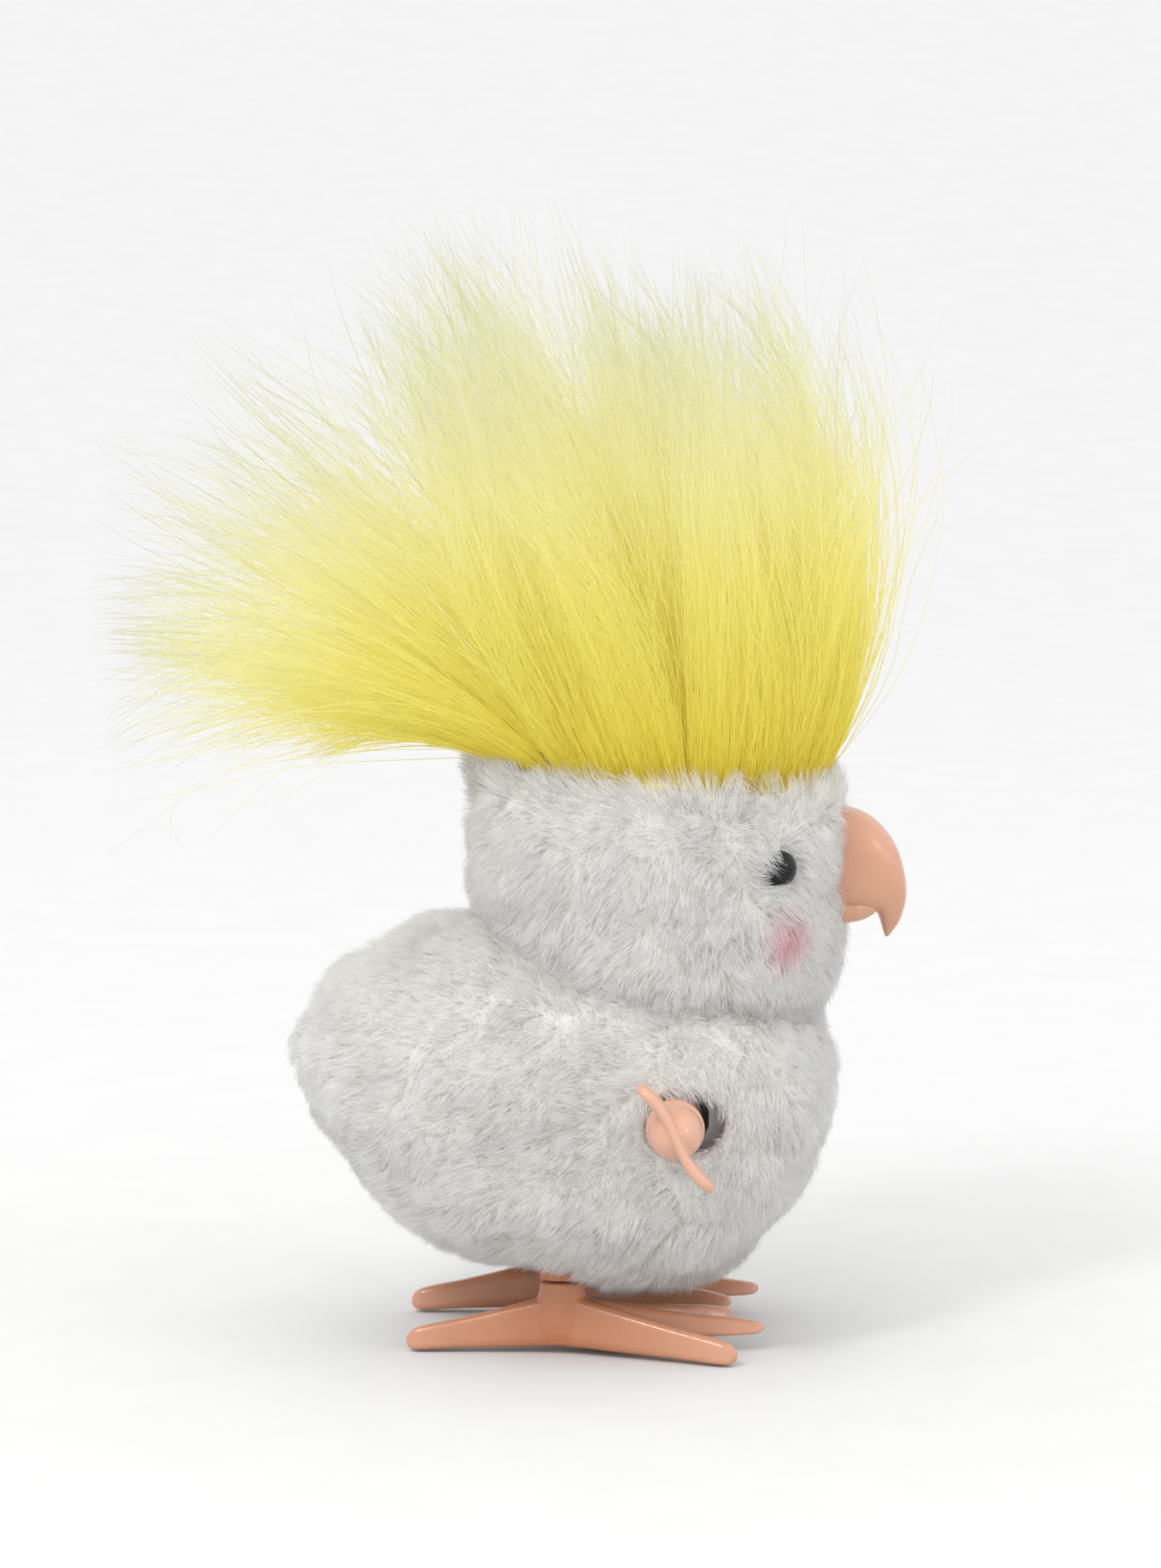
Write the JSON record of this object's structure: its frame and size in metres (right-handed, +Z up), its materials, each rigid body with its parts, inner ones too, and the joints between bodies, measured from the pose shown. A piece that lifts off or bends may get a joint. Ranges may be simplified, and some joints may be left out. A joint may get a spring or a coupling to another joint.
{
  "type": "wind-up hopping bird",
  "caption": "Free-standing plush wind-up toy bird with a long fur crest; a wing key on its side drives a crank that swings both legs together so that it hops.",
  "frame": {"origin": "on the ground, midway between the feet and below the hip axle, which is the centre of the underside of the overall box", "axes": "+X the way the beak points, +Y the bird's left, +Z up"},
  "size_m": [0.1103, 0.0826, 0.152],
  "materials": {
    "white_plush": "matte",
    "yellow_pile": "matte",
    "yellow_backing": "matte",
    "peach_plastic": "gloss",
    "black_bead": "gloss",
    "shell_plastic": "satin",
    "case_plastic": "satin",
    "gear_plastic": "satin",
    "rocker_plastic": "satin",
    "steel": "satin",
    "spring_steel": "satin"
  },
  "bodies": {
    "bird": {"plush_body": "white_plush", "plush_head": "white_plush", "crest_backing": "yellow_backing", "crest_pile": "yellow_pile", "shell_right": "shell_plastic", "shell_left": "shell_plastic", "shell_screw_1": "steel", "shell_screw_2": "steel", "shell_screw_3": "steel", "beak": "peach_plastic", "beak_washer": "steel", "eye_right": "black_bead", "eye_washer_right": "steel", "eye_left": "black_bead", "eye_washer_left": "steel", "motor_case_right": "case_plastic", "motor_case_left": "case_plastic", "case_screw_1": "steel", "case_screw_2": "steel", "case_screw_3": "steel", "case_screw_4": "steel", "mainspring": "spring_steel", "intermediate_pin": "steel", "escape_pin": "steel", "pallet_pin": "steel"},
    "key_and_great_wheel": {"key": "peach_plastic", "winding_arbor": "steel", "great_wheel": "gear_plastic"},
    "intermediate": {"intermediate_wheel": "gear_plastic"},
    "crank": {"crank_wheel": "gear_plastic", "crank_disc": "gear_plastic"},
    "escape": {"escape_wheel": "gear_plastic"},
    "governor_pallet": {"pallet": "gear_plastic"},
    "legs": {"hip_axle": "steel", "rocker": "rocker_plastic", "leg_right": "peach_plastic", "foot_right": "peach_plastic", "leg_left": "peach_plastic", "foot_left": "peach_plastic"}
  },
  "joints": [
    {"name": "key_turn", "type": "hinge", "parent": "bird", "child": "key_and_great_wheel", "pos_m": [0.0153, 0, 0.0343], "axis": [0, 1, 0], "range_deg": [0, 1440]},
    {"name": "intermediate_turn", "type": "hinge", "parent": "bird", "child": "intermediate", "pos_m": [0.00654, 0, 0.04176], "axis": [0, 1, 0], "range_deg": [-5184, 0]},
    {"name": "crank_turn", "type": "hinge", "parent": "bird", "child": "crank", "pos_m": [0, 0, 0.0342], "axis": [0, 1, 0], "range_deg": [0, 15552]},
    {"name": "escape_turn", "type": "hinge", "parent": "bird", "child": "escape", "pos_m": [-0.00566, 0, 0.03986], "axis": [0, 1, 0], "range_deg": [-46656, 0]},
    {"name": "pallet_rock", "type": "hinge", "parent": "bird", "child": "governor_pallet", "pos_m": [-0.01043, 0, 0.03639], "axis": [0, 1, 0], "range_deg": [-8, 8]},
    {"name": "leg_swing", "type": "hinge", "parent": "bird", "child": "legs", "pos_m": [0, 0, 0.022], "axis": [0, 1, 0], "range_deg": [-10, 10]}
  ],
  "couplings": [
    {"joint": "intermediate_turn", "follows": "key_turn", "ratio": -3.6},
    {"joint": "crank_turn", "follows": "key_turn", "ratio": 10.8},
    {"joint": "escape_turn", "follows": "key_turn", "ratio": -32.4}
  ]
}
